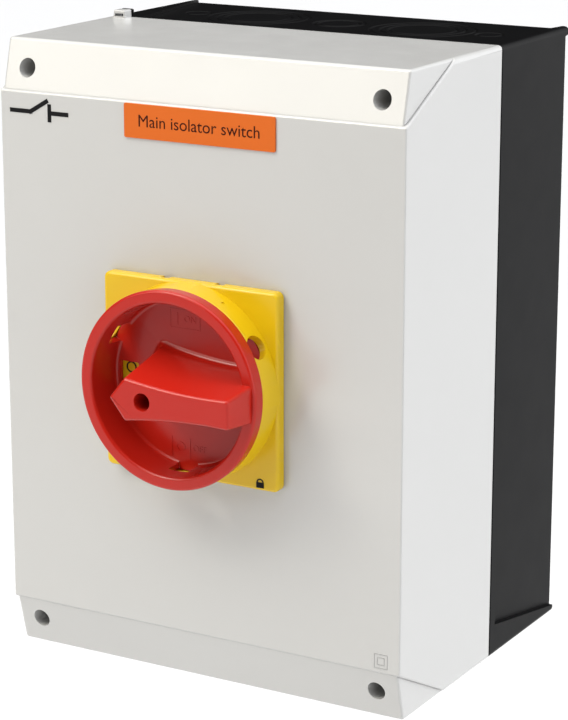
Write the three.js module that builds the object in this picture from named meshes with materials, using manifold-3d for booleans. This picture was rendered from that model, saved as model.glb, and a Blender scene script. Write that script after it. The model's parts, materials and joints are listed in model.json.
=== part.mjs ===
// Enclosed rotary isolator switch: a three-pole switch on a mounting plate inside an insulated
// enclosure, driven through the cover by a red knob on a yellow locking plate.
// Millimetres. +Z is up, -Y is the front, and the wall face of the base lies in the plane y = 0.
// The axis of the knob and the switch is the line x = 0, z = 0.

import * as THREE from 'three';
import { mergeVertices } from 'three/addons/utils/BufferGeometryUtils.js';
import Module from 'manifold-3d';

const wasm = await Module();
wasm.setup();

// ---------------------------------------------------------------- driving dimensions

const GAP = 0.3; // between pieces that touch

// enclosure
const WIDTH = 200;
const HEIGHT = 280;
const DEPTH = 160;
const BASE_DEPTH = 71;
const WALL = 4;
const EDGE_RADIUS = 2.5;
const FRONT_Y = -DEPTH;
const SEAM_Y = -BASE_DEPTH;

// bevels along the top and bottom of the cover, and the mitre that ends them on its sides
const BEVEL_HEIGHT = 22.5;
const BEVEL_DEPTH = 6.25;
const MITRE_DEPTH = 45;
const MITRE_STEP = 1.25;
const CREASE_STEP = 0.6;

// corner screws of the cover
const SCREW_X = 87.3;
const SCREW_Z = 127.5;
const COLUMN_RADIUS = 9.6;
const SCREW_HEAD_RADIUS = 3.8;
const SCREW_HEAD_HEIGHT = 5;
const SCREW_HOLE_RADIUS = 4.2;
const SCREW_SHANK_RADIUS = 2.4;
const SHANK_HOLE_RADIUS = 2.8;
const SCREW_SEAT_Y = FRONT_Y + 42;
const SCREW_TIP_Y = SEAM_Y + 20;
const BASE_COLUMN_DROP = 6;

// sealing lugs, one at the top left and one at the bottom right
const LUG = { x0: 89, x1: 95.3, reach: 3.5, slotWidth: 4.7, slotHeight: 1.3, slotTop: 2 };
const COVER_LUG_LENGTH = 6;
const BASE_LUG_LENGTH = 2;

// recess in the four sides of the base, between its corner pads
const RECESS = { sideDepth: 2.2, endDepth: 1.5, start: 5.2, wideInset: 14.8, narrowInset: 2.9 };

// wall fixing holes
const WALL_HOLE = { x: 85, z: 100, radius: 3.2, bossRadius: 7.5, bossHeight: 2 };

// screws of the mounting plate and the front plate: shank, and the holes they thread into and pass
const SMALL_SHANK_RADIUS = 1.6;
const THREAD_HOLE_RADIUS = 1.9;
const PASS_HOLE_RADIUS = 2.4;

// gasket in the rear rim of the cover
const GASKET = { inset: 1.2, width: 1.6, height: 1.9 };

// mounting plate
const PLATE = {
  halfX: 74,
  halfZ: 112,
  thickness: 2,
  corner: 4,
  standoff: 16,
  standoffRadius: 6,
  screwX: 62,
  screwZ: 98,
};
const PLATE_BACK_Y = -PLATE.standoff - GAP;
const PLATE_FRONT_Y = PLATE_BACK_Y - PLATE.thickness;
const PLATE_SCREW_TIP_Y = -8;

// switch: a foot, three contact chambers and a latch housing in one stack
const BODY_HALF = 32;
const FOOT_DEPTH = 6;
const BEARING_FLOOR = 2;
const CHAMBER_DEPTH = 18;
const CHAMBER_PITCH = CHAMBER_DEPTH + GAP;
const CHAMBER_FLOOR = 2.5;
const LATCH_DEPTH = 18;
const FOOT_BACK_Y = PLATE_FRONT_Y - GAP;
const FIRST_CHAMBER_Y = FOOT_BACK_Y - FOOT_DEPTH - GAP;
const LATCH_BACK_Y = FIRST_CHAMBER_Y - 3 * CHAMBER_PITCH;
const LATCH_FRONT_Y = LATCH_BACK_Y - LATCH_DEPTH;
const POLE_X = [-20, 0, 20];
const TIE_X = 27.5;
const TIE_Z = 14;
const TIE_RADIUS = 1.7;
const TIE_HOLE_RADIUS = 2;
const TIE_TIP_Y = PLATE_BACK_Y + 3;

// rotor and contacts
const SHAFT_HALF = 4;
const SLEEVE_HALF = 5.6;
const BEARING_RADIUS = 6.4;
const ROTOR_BORE_RADIUS = 9;
const BLADE_LENGTH = 41;
const BLADE_THICKNESS = 2.4;
const BLADE_HALF_WIDTH = 4.5;
const BLADE_HUB_RADIUS = 10;
const CAVITY_RADIUS = 21.5;
const CONTACT_TIP_Z = 14;
const CONTACT_BEND_Z = 22;
const CONTACT_HALF_WIDTH = 5;
const CONTACT_SLOT = { room: 0.6, behind: 3 };
const PRONG = { thickness: 1.2, inset: 0.5 };
const LATCH_CAVITY = { halfX: 22, halfZ: 18, roof: 3 };
const STAR_WHEEL = { radius: 13, wave: 1.4, fromFront: 5, fromBack: 3 };
const LATCH_LEAF = {
  inner: 17.6,
  outer: 18.6,
  halfLength: 16,
  beadRadius: 2.2,
  beadX: 17,
  fromFront: 6,
  fromBack: 4,
};
const TERMINAL = {
  halfX: 7,
  front: 4.6,
  back: 7.7,
  z0: 33,
  z1: 45,
  wall: 1.6,
  screwRadius: 2.2,
  armHalfX: 9,
  armEnd: 47,
};

// yellow front plate and its locking collar; p is a distance in front of the cover
const PANEL = { size: 87.4, thickness: 5.4, corner: 3, pocketRadius: 40.2, pocketFloor: 4.5 };
const PANEL_NOTCH = { x: 13.6, width: 4, height: 1.5, front: 3.4 };
const COLLAR = { footRadius: 43.6, topRadius: 42.8, height: 16.5, chamfer: 0.8 };
const PADLOCK_ANGLES = [30, 150, 270];
const PADLOCK_HOLE = { radius: 5.4, centre: 12.2 };
const PANEL_SCREW = { offset: 37, tip: 3.6, holeFront: 4 };
const HUB_RADIUS = 8.8;
const HUB_HOLE_RADIUS = 9.2;

// seals behind the front plate (outer) and around the knob's hub (inner)
const PLATE_SEAL = { inner: 14.4, outer: 16.6, front: 1.5, room: 0.4 };
const HUB_SEAL = { inner: 9.15, outer: 11, front: 3.2, back: 0.4 };

// red knob
const KNOB = {
  rimRadius: 43.8,
  rimFront: 24.5,
  rimRounding: 1.4,
  skirtRadius: 43.2,
  skirtBack: 17,
  wallRadius: 39.7,
  dishRimRadius: 37.9,
  dishFloorRadius: 37.1,
  floorFront: 7,
  floorBack: 5.2,
  hubBack: -4.5,
  screwSeat: 14,
  screwHoleRadius: 3.7,
  shankHoleRadius: 2,
};
const KNOB_NOTCH = { inner: 35, half: 4.9, front: 15.7 };
const KNOB_WINDOW = { inner: 25, outer: 34.5, half: 5.2 };
const GRIP = {
  front: 43.5,
  tip: -16.2,
  tail: 42,
  shoulderX: -8.8,
  shoulderHalf: 9.2,
  waistX: 18,
  waistHalf: 4.9,
  tailHalf: 6.3,
  spreadX: 0.07,
  spreadZ: 0.62,
};

// label on the cover
const LABEL = { x: 2.4, z: 109.6, width: 74.5, height: 14.8, thickness: 0.5, corner: 1 };

// ---------------------------------------------------------------- materials

function finish(color, roughness, metalness = 0) {
  return new THREE.MeshStandardMaterial({ color, roughness, metalness });
}

const LIGHT_GREY = finish(0xd8d6cf, 0.45);
const BLACK = finish(0x1c1c1e, 0.5);
const YELLOW = finish(0xf2c318, 0.4);
const RED = finish(0xcc2a22, 0.4);
const ORANGE = finish(0xea7030, 0.5);
const RUBBER = finish(0x202020, 0.9);
const ZINC = finish(0xc4c7ca, 0.35, 0.9);
const SHEET_STEEL = finish(0xb6b9bb, 0.4, 0.9);
const COPPER = finish(0xb87345, 0.3, 1);
const BRASS = finish(0xc9a44c, 0.3, 1);
const CHAMBER_GREY = finish(0x4a4d50, 0.6);
const SLEEVE_WHITE = finish(0xd9d4c4, 0.6);
const BLUE = finish(0x2c62b0, 0.5);
const GREEN = finish(0x3d8c3a, 0.5);

// ---------------------------------------------------------------- solid helpers

// A closed three.js geometry as a manifold solid
function solidOf(geometry) {
  const bare = geometry.clone();
  bare.deleteAttribute('normal');
  bare.deleteAttribute('uv');
  const merged = mergeVertices(bare, 1e-4);
  const index = merged.index.array;
  const triangles = [];
  for (let i = 0; i < index.length; i += 3) {
    const [a, b, c] = index.slice(i, i + 3);
    if (a !== b && b !== c && c !== a) triangles.push(a, b, c);
  }
  return new wasm.Manifold(new wasm.Mesh({
    numProp: 3,
    vertProperties: new Float32Array(merged.attributes.position.array),
    triVerts: new Uint32Array(triangles),
  }));
}

function join(...solids) {
  return solids.reduce((whole, solid) => whole.add(solid));
}

function cut(solid, ...tools) {
  return tools.reduce((rest, tool) => rest.subtract(tool), solid);
}

function box(x0, x1, y0, y1, z0, z1) {
  const geometry = new THREE.BoxGeometry(x1 - x0, y1 - y0, z1 - z0);
  geometry.translate((x0 + x1) / 2, (y0 + y1) / 2, (z0 + z1) / 2);
  return solidOf(geometry);
}

// A cylinder along Y, from y0 to y1
function rod(radius, y0, y1, x = 0, z = 0, sides = 16) {
  const geometry = new THREE.CylinderGeometry(radius, radius, y1 - y0, sides);
  geometry.translate(x, (y0 + y1) / 2, z);
  return solidOf(geometry);
}

// A body turned about the Y axis. The profile lists [radius, y] from the front to the back.
function turned(profile, sides = 40) {
  const points = profile.map(([radius, y]) => new THREE.Vector2(radius, y));
  return solidOf(new THREE.LatheGeometry(points, sides));
}

// A ring about the Y axis with a rectangular section
function ring(inner, outer, y0, y1, sides = 24) {
  return turned([[inner, y0], [outer, y0], [outer, y1], [inner, y1], [inner, y0]], sides);
}

function shapeOf(points) {
  return new THREE.Shape(points.map(([a, b]) => new THREE.Vector2(a, b)));
}

function extrude(shape, depth, curveSegments = 3) {
  return new THREE.ExtrudeGeometry(shape, { depth, bevelEnabled: false, curveSegments });
}

// A prism along X of a shape drawn in (y, z)
function prismX(shape, x0, x1) {
  const axes = new THREE.Matrix4().makeBasis(
    new THREE.Vector3(0, 1, 0),
    new THREE.Vector3(0, 0, 1),
    new THREE.Vector3(1, 0, 0),
  );
  return solidOf(extrude(shape, x1 - x0).applyMatrix4(axes).translate(x0, 0, 0));
}

// A prism along Y of a shape drawn in (x, z)
function prismY(shape, y0, y1) {
  return solidOf(extrude(shape, y1 - y0).rotateX(Math.PI / 2).translate(0, y1, 0));
}

// A prism along Z of a shape drawn in (x, y)
function prismZ(shape, z0, z1) {
  return solidOf(extrude(shape, z1 - z0).translate(0, 0, z0));
}

// A rectangle with round corners, centred on the origin
function roundedRectangle(width, height, radius) {
  const x = width / 2;
  const z = height / 2;
  const shape = new THREE.Shape();
  shape.moveTo(x, -z + radius);
  shape.lineTo(x, z - radius);
  shape.absarc(x - radius, z - radius, radius, 0, Math.PI / 2);
  shape.lineTo(-x + radius, z);
  shape.absarc(-x + radius, z - radius, radius, Math.PI / 2, Math.PI);
  shape.lineTo(-x, -z + radius);
  shape.absarc(-x + radius, -z + radius, radius, Math.PI, 1.5 * Math.PI);
  shape.lineTo(x - radius, -z);
  shape.absarc(x - radius, -z + radius, radius, 1.5 * Math.PI, 2 * Math.PI);
  return shape;
}

// A solid turned about the Y axis, anticlockwise seen from the front
function turnedBy(solid, degrees) {
  return solid.rotate([0, -degrees, 0]);
}

const corners = (x, z) => [[-x, z], [x, z], [-x, -z], [x, -z]];

// Four equal rods along Y, one at each corner of a rectangle
function atCorners(x, z, radius, y0, y1, sides = 16) {
  return corners(x, z).map(([cx, cz]) => rod(radius, y0, y1, cx, cz, sides));
}

const atFront = (p) => FRONT_Y - p;

function mesh(name, solid, material) {
  const data = solid.getMesh();
  const geometry = new THREE.BufferGeometry();
  const positions = new Float32Array(data.vertProperties);
  geometry.setAttribute('position', new THREE.BufferAttribute(positions, 3));
  geometry.setIndex(new THREE.BufferAttribute(new Uint32Array(data.triVerts), 1));
  geometry.computeVertexNormals();
  const piece = new THREE.Mesh(geometry, material.clone());
  piece.name = name;
  return piece;
}

// ---------------------------------------------------------------- enclosure

// Side view of the cover as an outline in (y, z), symmetrical about z = 0
function sideView(front, knee, back, z, crease) {
  return shapeOf([[front, -crease], [knee, -z], [back, -z], [back, z], [knee, z], [front, crease]]);
}

// The bevelled ends of the cover, which lie a step behind its middle
function bevelledView(back) {
  const front = FRONT_Y + CREASE_STEP;
  return sideView(front, FRONT_Y + BEVEL_DEPTH, back, HEIGHT / 2, HEIGHT / 2 - BEVEL_HEIGHT);
}

// The middle of the cover, which ends at the mitre
function mitredView(back) {
  return sideView(FRONT_Y, FRONT_Y + MITRE_DEPTH, back, HEIGHT / 2, HEIGHT / 2 - BEVEL_HEIGHT);
}

// The inside of the cover, one wall thickness in
function insideView(back) {
  const z = HEIGHT / 2 - WALL;
  const front = FRONT_Y + WALL;
  return sideView(front, front + BEVEL_DEPTH, back, z, z - BEVEL_HEIGHT + 1);
}

// A sealing lug and its twin, point-mirrored about the knob axis
function sealingLugs(y0, y1) {
  const middle = (LUG.x0 + LUG.x1) / 2;
  const slotHalf = LUG.slotWidth / 2;
  const slotTop = HEIGHT / 2 + LUG.slotTop;
  const lug = cut(
    box(-LUG.x1, -LUG.x0, y0, y1, HEIGHT / 2 - 0.5, HEIGHT / 2 + LUG.reach),
    box(-middle - slotHalf, -middle + slotHalf, y0 - 1, y1 + 1, slotTop - LUG.slotHeight, slotTop),
  );
  return join(lug, turnedBy(lug, 180));
}

function coverShell() {
  const back = SEAM_Y - GAP;
  const middle = prismX(mitredView(back), -WIDTH / 2, WIDTH / 2);
  const ends = prismX(bevelledView(back), -WIDTH / 2 + MITRE_STEP, WIDTH / 2 - MITRE_STEP);
  const rounding = prismY(roundedRectangle(WIDTH, HEIGHT, EDGE_RADIUS), FRONT_Y - 1, back);
  const outside = join(middle, ends).intersect(rounding);
  const inside = prismX(insideView(back + 1), -WIDTH / 2 + WALL, WIDTH / 2 - WALL);
  const columns = corners(SCREW_X, SCREW_Z).map(([x, z]) => rod(COLUMN_RADIUS, FRONT_Y, back, x, z));
  let shell = join(cut(outside, inside), ...columns).intersect(outside);
  for (const [x, z] of corners(SCREW_X, SCREW_Z)) {
    shell = cut(
      shell,
      rod(SCREW_HOLE_RADIUS, FRONT_Y - 1, SCREW_SEAT_Y, x, z),
      rod(SHANK_HOLE_RADIUS, SCREW_SEAT_Y - 1, back + 1, x, z, 12),
    );
  }
  for (const [x, z] of corners(PANEL_SCREW.offset, PANEL_SCREW.offset)) {
    shell = cut(shell, rod(THREAD_HOLE_RADIUS, FRONT_Y - 1, FRONT_Y + WALL + 1, x, z, 10));
  }
  const outer = GASKET.inset - GAP;
  const inner = GASKET.inset + GASKET.width + GAP;
  const groove = rectangleRing(outer, inner, back - GASKET.height - GAP, back + 1);
  shell = cut(shell, rod(HUB_HOLE_RADIUS, FRONT_Y - 1, FRONT_Y + WALL + 1), groove);
  return mesh('cover_shell', shell.add(sealingLugs(back - COVER_LUG_LENGTH, back)), LIGHT_GREY);
}

// A rectangular ring that follows the rim of the enclosure, between two insets from its sides
function rectangleRing(outerInset, innerInset, y0, y1) {
  const x = WIDTH / 2;
  const z = HEIGHT / 2;
  return cut(
    box(-x + outerInset, x - outerInset, y0, y1, -z + outerInset, z - outerInset),
    box(-x + innerInset, x - innerInset, y0 - 1, y1 + 1, -z + innerInset, z - innerInset),
  );
}

function coverGasket() {
  const back = SEAM_Y - GAP;
  const band = rectangleRing(GASKET.inset, GASKET.inset + GASKET.width, back - GASKET.height, back);
  return mesh('cover_gasket', band, RUBBER);
}

// The recesses in the sides of the base, as four wedges to cut away
function sideRecesses() {
  const start = SEAM_Y + RECESS.start;
  const profile = (half) => [
    [start, -half + RECESS.wideInset],
    [1, -half + RECESS.narrowInset],
    [1, half - RECESS.narrowInset],
    [start, half - RECESS.wideInset],
  ];
  const side = profile(HEIGHT / 2);
  const end = profile(WIDTH / 2).map(([y, x]) => [x, y]);
  const x = WIDTH / 2 - RECESS.sideDepth;
  const z = HEIGHT / 2 - RECESS.endDepth;
  return [
    prismX(shapeOf(side), x, x + 5),
    prismX(shapeOf(side), -x - 5, -x),
    prismZ(shapeOf(end), z, z + 5),
    prismZ(shapeOf(end), -z - 5, -z),
  ];
}

function baseHousing() {
  const outside = prismY(roundedRectangle(WIDTH, HEIGHT, EDGE_RADIUS), SEAM_Y, 0);
  const x = WIDTH / 2 - WALL;
  const z = HEIGHT / 2 - WALL;
  const floor = -WALL + 1;
  const bossFront = -WALL - WALL_HOLE.bossHeight;
  const tray = cut(outside, box(-x, x, SEAM_Y - 1, -WALL, -z, z));
  // The columns stop short of the seam, so the screws draw the cover down on its gasket
  const columnFront = SEAM_Y + BASE_COLUMN_DROP;
  const posts = [
    ...atCorners(SCREW_X, SCREW_Z, COLUMN_RADIUS, columnFront, floor),
    ...atCorners(PLATE.screwX, PLATE.screwZ, PLATE.standoffRadius, -PLATE.standoff, floor, 12),
    ...atCorners(WALL_HOLE.x, WALL_HOLE.z, WALL_HOLE.bossRadius, bossFront, floor),
  ];
  const standoffHoleEnd = PLATE_SCREW_TIP_Y + 2;
  const holes = [
    ...atCorners(SCREW_X, SCREW_Z, SHANK_HOLE_RADIUS, columnFront - 1, SCREW_TIP_Y + 2, 12),
    ...atCorners(PLATE.screwX, PLATE.screwZ, THREAD_HOLE_RADIUS, -PLATE.standoff - 1, standoffHoleEnd, 10),
    ...atCorners(WALL_HOLE.x, WALL_HOLE.z, WALL_HOLE.radius, bossFront - 1, 1, 12),
  ];
  const solid = join(tray, ...posts).intersect(outside);
  const base = cut(solid, ...sideRecesses(), ...holes);
  return mesh('base_housing', base.add(sealingLugs(SEAM_Y, SEAM_Y + BASE_LUG_LENGTH)), BLACK);
}

// A cover screw with a cross recess, sunk in its well
function coverScrew(name, x, z) {
  const headBack = SCREW_SEAT_Y - GAP;
  const headFront = headBack - SCREW_HEAD_HEIGHT;
  const arm = 3;
  const half = 0.4;
  const recessBack = headFront + 1.8;
  const screw = cut(
    join(
      rod(SCREW_HEAD_RADIUS, headFront, headBack, x, z),
      rod(SCREW_SHANK_RADIUS, headBack - 1, SCREW_TIP_Y, x, z, 10),
    ),
    box(x - arm, x + arm, headFront - 1, recessBack, z - half, z + half),
    box(x - half, x + half, headFront - 1, recessBack, z - arm, z + arm),
  );
  return mesh(name, screw, ZINC);
}

// A slotted pan-head screw along Y. The head's bearing face is at y = seat, the tip at y = tip.
const PAN_HEAD = { radius: 3.4, height: 2.4, slotDepth: 0.9 };

function panScrew(name, seat, tip, x, z, radius = SMALL_SHANK_RADIUS, head = PAN_HEAD) {
  const forward = Math.sign(seat - tip);
  const span = (a, b) => [Math.min(a, b), Math.max(a, b)];
  const top = seat + forward * head.height;
  const reach = head.radius + 1;
  const slotHalf = radius / 3;
  const screw = cut(
    join(
      rod(head.radius, ...span(seat, top), x, z, 12),
      rod(radius, ...span(tip, seat + forward), x, z, 8),
    ),
    box(
      x - reach, x + reach,
      ...span(top - forward * head.slotDepth, top + forward),
      z - slotHalf, z + slotHalf,
    ),
  );
  return mesh(name, screw, ZINC);
}

function labelPlate() {
  const { x, z, width, height, thickness, corner } = LABEL;
  const front = atFront(GAP + thickness);
  const plate = prismY(roundedRectangle(width, height, corner), front, atFront(GAP));
  return mesh('label_plate', plate.translate([x, 0, z]), ORANGE);
}

// ---------------------------------------------------------------- front plate and knob

function frontPlate() {
  const outline = roundedRectangle(PANEL.size, PANEL.size, PANEL.corner);
  const slab = prismY(outline, atFront(PANEL.thickness), atFront(GAP));
  const collar = turned([
    [0, atFront(COLLAR.height)],
    [COLLAR.topRadius - COLLAR.chamfer, atFront(COLLAR.height)],
    [COLLAR.topRadius, atFront(COLLAR.height - COLLAR.chamfer)],
    [COLLAR.footRadius, atFront(PANEL.thickness - 1)],
    [0, atFront(PANEL.thickness - 1)],
  ]);
  const pocketFloor = atFront(PANEL.pocketFloor);
  const pocket = rod(PANEL.pocketRadius, atFront(COLLAR.height + 1), pocketFloor, 0, 0, 48);
  let plate = cut(join(slab, collar), pocket);
  for (const angle of PADLOCK_ANGLES) {
    plate = cut(plate, turnedBy(padlockHole(), angle));
  }
  const edge = PANEL.size / 2;
  const half = PANEL_NOTCH.width / 2;
  for (const x of [-PANEL_NOTCH.x, PANEL_NOTCH.x]) {
    const [front, back] = [atFront(PANEL_NOTCH.front), atFront(0)];
    plate = cut(plate, box(x - half, x + half, front, back, edge - PANEL_NOTCH.height, edge + 1));
  }
  const { offset, holeFront } = PANEL_SCREW;
  const { inner, outer, front, room } = PLATE_SEAL;
  return mesh('front_plate', cut(
    plate,
    ...atCorners(offset, offset, THREAD_HOLE_RADIUS, atFront(holeFront), atFront(0), 10),
    rod(HUB_HOLE_RADIUS, pocketFloor - 1, atFront(0)),
    rod(HUB_SEAL.outer + GAP, atFront(HUB_SEAL.front + GAP), atFront(0), 0, 0, 24),
    ring(inner - room, outer + room, atFront(front + GAP), atFront(0)),
  ), YELLOW);
}

// A round hole for a padlock through the right of the collar, open at the collar's front
function padlockHole() {
  const { radius, centre } = PADLOCK_HOLE;
  const [from, to] = [PANEL.pocketRadius - 4, COLLAR.footRadius + 2];
  const geometry = new THREE.CylinderGeometry(radius, radius, to - from, 20);
  geometry.rotateZ(Math.PI / 2).translate((from + to) / 2, atFront(centre), 0);
  return solidOf(geometry);
}

function frontPlateSeal() {
  const seal = ring(PLATE_SEAL.inner, PLATE_SEAL.outer, atFront(PLATE_SEAL.front), atFront(GAP));
  return mesh('front_plate_seal', seal, RUBBER);
}

function knobSeal() {
  const seal = ring(HUB_SEAL.inner, HUB_SEAL.outer, atFront(HUB_SEAL.front), atFront(HUB_SEAL.back));
  return mesh('knob_seal', seal, RUBBER);
}

// Outline of the grip bar's front face, in (x, z): a point on the left and a waisted tail
function gripOutline() {
  const { tip, tail, shoulderX, shoulderHalf, waistX, waistHalf, tailHalf } = GRIP;
  const shape = new THREE.Shape();
  shape.moveTo(tip, 0);
  shape.lineTo(shoulderX, -shoulderHalf);
  shape.quadraticCurveTo(waistX, -waistHalf, tail, -tailHalf);
  shape.lineTo(tail, tailHalf);
  shape.quadraticCurveTo(waistX, waistHalf, shoulderX, shoulderHalf);
  return shape;
}

// The grip bar widens about its tail from its front face towards the floor of the dish
function gripBar() {
  const back = KNOB.floorBack + 0.5;
  const depth = GRIP.front - back;
  const geometry = extrude(gripOutline(), depth, 8);
  const position = geometry.attributes.position;
  for (let i = 0; i < position.count; i += 1) {
    // the far end of the extrusion becomes the front face, which keeps its size
    if (position.getZ(i) > depth / 2) continue;
    position.setX(i, GRIP.tail + (position.getX(i) - GRIP.tail) * (1 + GRIP.spreadX));
    position.setY(i, position.getY(i) * (1 + GRIP.spreadZ));
  }
  return solidOf(geometry.rotateX(Math.PI / 2).translate(0, atFront(back), 0));
}

// Everything the grip bar may fill: the dish up to its rim, and all of the space before the rim
function gripSpace() {
  const rimBack = atFront(KNOB.rimFront - 0.1);
  const room = KNOB.rimRadius;
  return join(
    rod(KNOB.dishRimRadius + 0.5, rimBack, atFront(KNOB.floorBack), 0, 0, 48),
    box(-room, room, atFront(GRIP.front + 1), rimBack, -room, room),
  );
}

function knob() {
  const { rimRadius, rimFront, rimRounding, skirtBack, floorFront, floorBack } = KNOB;
  const dish = turned([
    [0, atFront(floorFront)],
    [KNOB.dishFloorRadius, atFront(floorFront)],
    [KNOB.dishRimRadius, atFront(rimFront - rimRounding)],
    [KNOB.dishRimRadius + rimRounding, atFront(rimFront)],
    [rimRadius - rimRounding, atFront(rimFront)],
    [rimRadius, atFront(rimFront - rimRounding)],
    [KNOB.skirtRadius, atFront(skirtBack)],
    [KNOB.wallRadius, atFront(skirtBack)],
    [KNOB.wallRadius, atFront(floorBack)],
    [0, atFront(floorBack)],
  ], 48);
  const hub = rod(HUB_RADIUS, atFront(floorBack + 1), atFront(KNOB.hubBack), 0, 0, 24);
  let solid = join(dish, gripBar().intersect(gripSpace()), hub);
  for (const angle of PADLOCK_ANGLES) {
    const { inner, half, front } = KNOB_NOTCH;
    const notch = box(inner, rimRadius - 2, atFront(front), atFront(floorFront), -half, half);
    solid = cut(solid, turnedBy(notch, angle));
  }
  const { inner, outer, half } = KNOB_WINDOW;
  return mesh('knob', cut(
    solid,
    box(-outer, -inner, atFront(floorFront + 1), atFront(floorBack - 1), -half, half),
    rod(KNOB.screwHoleRadius, atFront(GRIP.front + 1), atFront(KNOB.screwSeat)),
    rod(KNOB.shankHoleRadius, atFront(KNOB.screwSeat + 1), atFront(KNOB.hubBack - 1), 0, 0, 12),
  ), RED);
}

// The socket behind the knob's hub that takes the square shaft
const COUPLING_FRONT_Y = atFront(KNOB.hubBack - GAP);
const COUPLING = { flangeRadius: 14, flangeDepth: 3, tubeRadius: 9, length: 24, socketStart: 10 };
const COUPLING_BACK_Y = COUPLING_FRONT_Y + COUPLING.length;
const SOCKET_FRONT_Y = COUPLING_FRONT_Y + COUPLING.socketStart;

function couplingSocket() {
  const half = SHAFT_HALF + GAP;
  const { flangeRadius, flangeDepth, tubeRadius } = COUPLING;
  const flangeBack = COUPLING_FRONT_Y + flangeDepth;
  const body = join(
    rod(flangeRadius, COUPLING_FRONT_Y, flangeBack, 0, 0, 24),
    rod(tubeRadius, flangeBack - 1, COUPLING_BACK_Y, 0, 0, 20),
  );
  const socket = box(-half, half, SOCKET_FRONT_Y, COUPLING_BACK_Y + 1, -half, half);
  const screwHole = rod(KNOB.shankHoleRadius, COUPLING_FRONT_Y - 1, SOCKET_FRONT_Y + 1, 0, 0, 12);
  return mesh('coupling_socket', cut(body, socket, screwHole), CHAMBER_GREY);
}

function knobScrew() {
  const head = { ...PAN_HEAD, radius: 3.2 };
  const seat = atFront(KNOB.screwSeat + GAP);
  return panScrew('knob_screw', seat, SOCKET_FRONT_Y - 1.5, 0, 0, SMALL_SHANK_RADIUS, head);
}

// ---------------------------------------------------------------- switch

function mountingPlate() {
  const outline = roundedRectangle(2 * PLATE.halfX, 2 * PLATE.halfZ, PLATE.corner);
  const [front, back] = [PLATE_FRONT_Y - 1, PLATE_BACK_Y + 1];
  const plate = cut(
    prismY(outline, PLATE_FRONT_Y, PLATE_BACK_Y),
    ...atCorners(PLATE.screwX, PLATE.screwZ, PASS_HOLE_RADIUS, front, back, 12),
    ...tieHoles(front, back),
  );
  return mesh('mounting_plate', plate, SHEET_STEEL);
}

// The foot carries the rear bearing of the shaft
function switchFoot() {
  const front = FOOT_BACK_Y - FOOT_DEPTH;
  const block = box(-BODY_HALF, BODY_HALF, front, FOOT_BACK_Y, -BODY_HALF, BODY_HALF);
  const bearing = rod(BEARING_RADIUS, front - 1, FOOT_BACK_Y - BEARING_FLOOR);
  const ties = tieHoles(front - 1, FOOT_BACK_Y + 1);
  return mesh('switch_foot', cut(block, bearing, ...ties), CHAMBER_GREY);
}

// The two tie screws stand at opposite corners of the stack
const tiePlaces = () => [[-TIE_X, TIE_Z], [TIE_X, -TIE_Z]];

function tieHoles(y0, y1) {
  return tiePlaces().map(([x, z]) => rod(TIE_HOLE_RADIUS, y0, y1, x, z, 12));
}

// Y of the rear face of a contact chamber, and of the middle of its contacts
const chamberBack = (pole) => FIRST_CHAMBER_Y - pole * CHAMBER_PITCH;
const contactY = (pole) => chamberBack(pole) - CHAMBER_FLOOR - (CHAMBER_DEPTH - CHAMBER_FLOOR) / 2;

// One contact chamber: open to the front, with an arm over each of its two terminals
function contactChamber(pole) {
  const back = chamberBack(pole);
  const front = back - CHAMBER_DEPTH;
  const floor = back - CHAMBER_FLOOR;
  const x = POLE_X[pole];
  const { armHalfX, armEnd } = TERMINAL;
  const arm = box(x - armHalfX, x + armHalfX, front, back, BODY_HALF - 1, armEnd);
  const block = box(-BODY_HALF, BODY_HALF, front, back, -BODY_HALF, BODY_HALF);

  const slotHalf = CONTACT_HALF_WIDTH + CONTACT_SLOT.room;
  const slotBack = contactY(pole) + CONTACT_SLOT.behind;
  const runPocket = box(
    Math.min(x, 0) - slotHalf, Math.max(x, 0) + slotHalf,
    front - 1, slotBack,
    CONTACT_BEND_Z - 2, CONTACT_BEND_Z + slotHalf,
  );
  const window = box(
    x - slotHalf, x + slotHalf,
    front - 1, slotBack,
    CONTACT_BEND_Z, TERMINAL.z0 + 1,
  );
  const terminalPocket = box(
    x - TERMINAL.halfX - GAP, x + TERMINAL.halfX + GAP,
    front - 1, contactY(pole) + TERMINAL.back + GAP / 2,
    TERMINAL.z0 - GAP, TERMINAL.z1 + 5,
  );
  const upper = [runPocket, window, terminalPocket];
  const lower = upper.map((solid) => solid.mirror([0, 0, 1]));
  const chamber = cut(
    join(block, arm, arm.mirror([0, 0, 1])),
    rod(CAVITY_RADIUS, front - 1, floor, 0, 0, 32),
    rod(ROTOR_BORE_RADIUS, floor - 1, back + 1),
    ...upper,
    ...lower,
    ...tieHoles(front - 1, back + 1),
  );
  return mesh(`contact_chamber_${pole + 1}`, chamber, CHAMBER_GREY);
}

// A fixed contact: two prongs that take the blade between them, a block, and a bar to the terminal
function fixedContact(name, pole, side) {
  const y = contactY(pole);
  const x = POLE_X[pole];
  const half = BLADE_THICKNESS / 2;
  const gapHalf = half + GAP;
  const blockHalf = gapHalf + PRONG.thickness;
  const width = CONTACT_HALF_WIDTH;
  const prongHalf = width - PRONG.inset;
  const blockTop = CONTACT_BEND_Z + 3;
  const contact = join(
    box(-prongHalf, prongHalf, y - blockHalf, y - gapHalf, CONTACT_TIP_Z, blockTop),
    box(-prongHalf, prongHalf, y + gapHalf, y + blockHalf, CONTACT_TIP_Z, blockTop),
    box(-prongHalf, prongHalf, y - blockHalf, y + blockHalf, CONTACT_BEND_Z, blockTop),
    box(
      Math.min(x, 0) - width, Math.max(x, 0) + width,
      y - half, y + half,
      CONTACT_BEND_Z, CONTACT_BEND_Z + width,
    ),
    box(x - width, x + width, y - half, y + half, CONTACT_BEND_Z, TERMINAL.z1 - 1),
  );
  return mesh(name, side > 0 ? contact : contact.mirror([0, 0, 1]), COPPER);
}

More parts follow.
